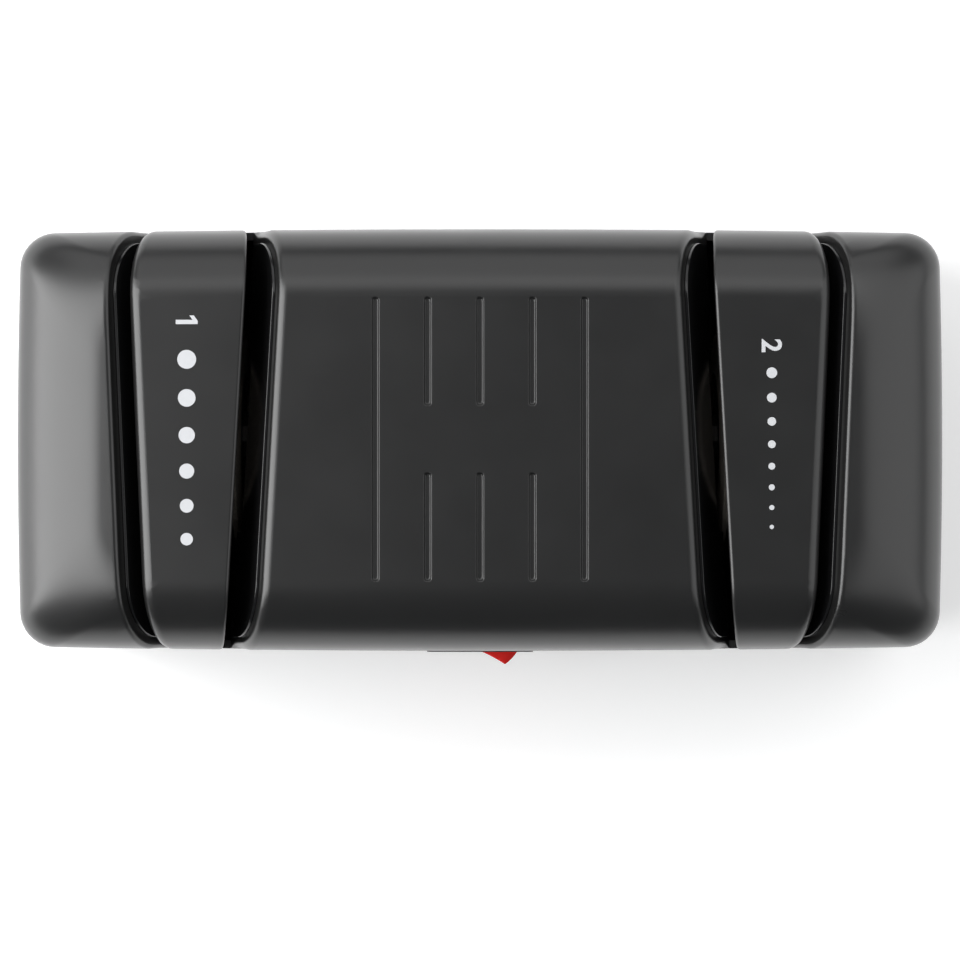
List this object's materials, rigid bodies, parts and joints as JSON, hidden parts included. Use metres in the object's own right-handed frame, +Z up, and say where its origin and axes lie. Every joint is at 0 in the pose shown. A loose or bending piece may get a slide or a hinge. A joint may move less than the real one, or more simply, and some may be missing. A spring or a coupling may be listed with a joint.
{
  "type": "electric knife sharpener",
  "caption": "Two-stage electric knife sharpener with slanted blade slots either side of two bridges, motor-driven coned discs and a front rocker switch.",
  "frame": {"origin": "centre of the base on the plane under the feet", "axes": "+X along the length towards the fine stage, -Y towards the front with the switch, +Z up"},
  "size_m": [0.2238, 0.1102, 0.09],
  "materials": {
    "satin_black": "satin",
    "gloss_black": "polished",
    "base_black": "fine texture",
    "red_plastic": "satin gloss",
    "switch_black": "fine texture",
    "rubber": "matte",
    "steel": "turned",
    "zinc_steel": "zinc plated",
    "lamination": "laminated",
    "copper": "enamelled",
    "bronze": "sintered",
    "aluminium": "cast",
    "coarse_grit": "coarse grit",
    "fine_grit": "fine grit",
    "white_nylon": "moulded"
  },
  "bodies": {
    "housing": {"upper_shell": "satin_black", "coarse_bridge": "satin_black", "coarse_inner_guide": "gloss_black", "coarse_outer_guide": "gloss_black", "fine_bridge": "satin_black", "fine_inner_guide": "gloss_black", "fine_outer_guide": "gloss_black", "base_plate": "base_black", "base_screws": "zinc_steel", "rubber_feet": "rubber", "motor_pads": "rubber", "motor_screws": "zinc_steel", "stator_core": "lamination", "shading_rings": "copper", "coil_bobbin": "white_nylon", "field_winding": "copper", "left_motor_bracket": "zinc_steel", "left_bush": "bronze", "right_motor_bracket": "zinc_steel", "right_bush": "bronze", "stack_bolts": "zinc_steel", "switch_body": "switch_black", "switch_terminals": "bronze", "cord_grommet": "switch_black"},
    "rotor": {"rotor_shaft": "steel", "drive_pins": "steel", "retaining_rings": "steel", "rotor_core": "lamination", "rotor_end_rings": "aluminium", "thrust_washers": "white_nylon", "cooling_fan": "white_nylon", "coarse_spring": "steel", "fine_spring": "steel"},
    "rocker": {"rocker_paddle": "red_plastic"},
    "coarse_inner_disc_set": {"coarse_inner_disc": "steel", "coarse_inner_abrasive": "coarse_grit"},
    "coarse_outer_disc_set": {"coarse_outer_disc": "steel", "coarse_outer_abrasive": "coarse_grit"},
    "fine_inner_disc_set": {"fine_inner_disc": "steel", "fine_inner_abrasive": "fine_grit"},
    "fine_outer_disc_set": {"fine_outer_disc": "steel", "fine_outer_abrasive": "fine_grit"}
  },
  "joints": [
    {"name": "rotor_spin", "type": "hinge", "parent": "housing", "child": "rotor", "pos_m": [0, 0, 0.046], "axis": [1, 0, 0], "continuous": true},
    {"name": "coarse_inner_disc_slide", "type": "slide", "parent": "rotor", "child": "coarse_inner_disc_set", "axis": [-1, 0, 0], "range_m": [0, 0.0012], "stiffness_N_per_m": 2000, "springref_m": -0.003, "deforming": ["coarse_spring"]},
    {"name": "coarse_outer_disc_slide", "type": "slide", "parent": "rotor", "child": "coarse_outer_disc_set", "axis": [1, 0, 0], "range_m": [0, 0.0012], "stiffness_N_per_m": 2000, "springref_m": -0.003},
    {"name": "fine_inner_disc_slide", "type": "slide", "parent": "rotor", "child": "fine_inner_disc_set", "axis": [1, 0, 0], "range_m": [0, 0.0012], "stiffness_N_per_m": 2000, "springref_m": -0.003, "deforming": ["fine_spring"]},
    {"name": "fine_outer_disc_slide", "type": "slide", "parent": "rotor", "child": "fine_outer_disc_set", "axis": [-1, 0, 0], "range_m": [0, 0.0012], "stiffness_N_per_m": 2000, "springref_m": -0.003},
    {"name": "rocker_tilt", "type": "hinge", "parent": "housing", "child": "rocker", "pos_m": [0, -0.047, 0.028], "axis": [0, 0, 1], "range_deg": [0, 26.6]}
  ]
}
